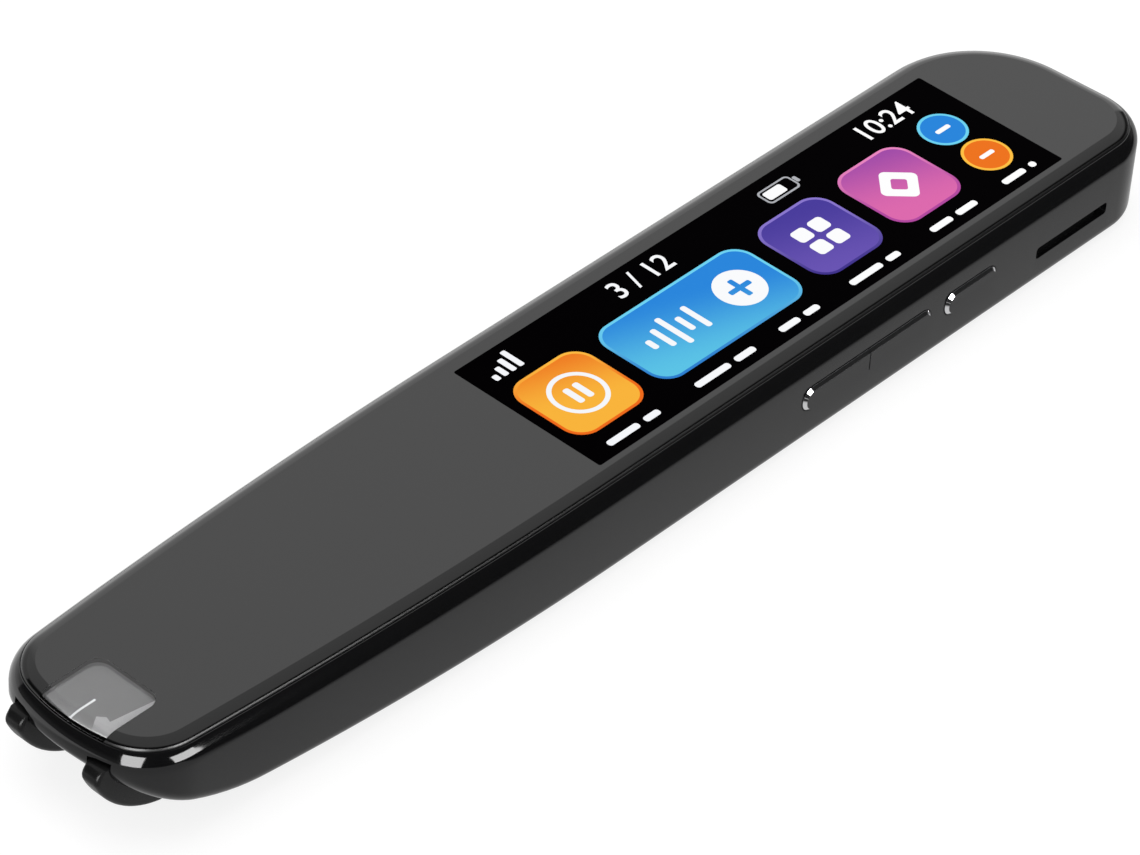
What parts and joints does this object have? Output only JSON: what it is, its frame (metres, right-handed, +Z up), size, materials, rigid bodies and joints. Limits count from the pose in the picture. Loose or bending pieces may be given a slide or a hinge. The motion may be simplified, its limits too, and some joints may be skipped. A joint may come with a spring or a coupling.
{
  "type": "scanning translator pen",
  "caption": "Slim handheld translator: glossy case with curved cover glass, lit display, side keys, sight window and a spring-loaded scan tip under the nose",
  "frame": {"origin": "on the flat back, under the middle of the case", "axes": "+X runs from the nose to the tail, +Z is up out of the cover glass, and the side keys face -Y"},
  "size_m": [0.1535, 0.028, 0.0121],
  "materials": {
    "gloss_black": "piano black moulded case",
    "cover_glass": "curved cover glass",
    "black_film": "black mask film",
    "gasket": "adhesive gasket",
    "display": "display module",
    "flex": "flexible circuit",
    "frame_metal": "cast magnesium mid frame",
    "steel": "stamped or turned steel",
    "board": "circuit board with solder mask",
    "chips": "moulded circuit parts",
    "battery_foil": "pouch cell foil",
    "tape": "double sided tape",
    "wire": "insulated lead",
    "black_plastic": "moulded plastic",
    "gold_can": "plated microphone can",
    "mesh": "woven sound mesh",
    "key_plastic": "moulded keys",
    "tip_plastic": "satin moulded scan tip",
    "tunnel": "light grey light tunnel",
    "clear_plastic": "clear scan window",
    "lens": "camera lens",
    "led": "light emitting diodes"
  },
  "bodies": {
    "case": {"back_shell": "gloss_black", "front_glass": "cover_glass", "mask_film": "black_film", "glass_gasket": "gasket", "display_panel": "display", "display_flex": "flex", "mid_frame": "frame_metal", "case_screws": "steel", "main_board": "board", "processor_shield": "steel", "board_parts": "chips", "battery": "battery_foil", "battery_tape": "tape", "battery_lead": "wire", "link_flex": "flex", "tail_board": "board", "usb_port": "steel", "usb_tongue": "black_plastic", "microphone": "gold_can", "speaker": "black_plastic", "speaker_mesh": "mesh", "antenna": "flex", "key_flex": "flex", "key_domes": "steel", "tip_springs": "steel", "tip_guide_pins": "steel", "tip_switch": "black_plastic", "sight_tunnel": "tunnel", "scan_window": "clear_plastic", "scan_camera": "black_plastic", "camera_lens": "lens", "camera_flex": "flex", "led_board": "board", "scan_leds": "led"},
    "power_key": {"power_button": "key_plastic"},
    "volume_up": {"volume_up_key": "key_plastic"},
    "volume_down": {"volume_down_key": "key_plastic"},
    "tip": {"scan_tip": "tip_plastic"}
  },
  "joints": [
    {"name": "power_press", "type": "slide", "parent": "case", "child": "power_key", "axis": [0, 1, 0], "range_m": [0, 0.0003], "stiffness_N_per_m": 1500, "springref_m": -0.0003},
    {"name": "volume_up_press", "type": "slide", "parent": "case", "child": "volume_up", "axis": [0, 1, 0], "range_m": [0, 0.0003], "stiffness_N_per_m": 1500, "springref_m": -0.0003},
    {"name": "volume_down_press", "type": "slide", "parent": "case", "child": "volume_down", "axis": [0, 1, 0], "range_m": [0, 0.0003], "stiffness_N_per_m": 1500, "springref_m": -0.0003},
    {"name": "tip_press", "type": "slide", "parent": "case", "child": "tip", "axis": [0.766, 0, 0.6428], "range_m": [0, 0.0008], "stiffness_N_per_m": 400, "springref_m": -0.0008, "deforming": ["tip_springs"]}
  ]
}
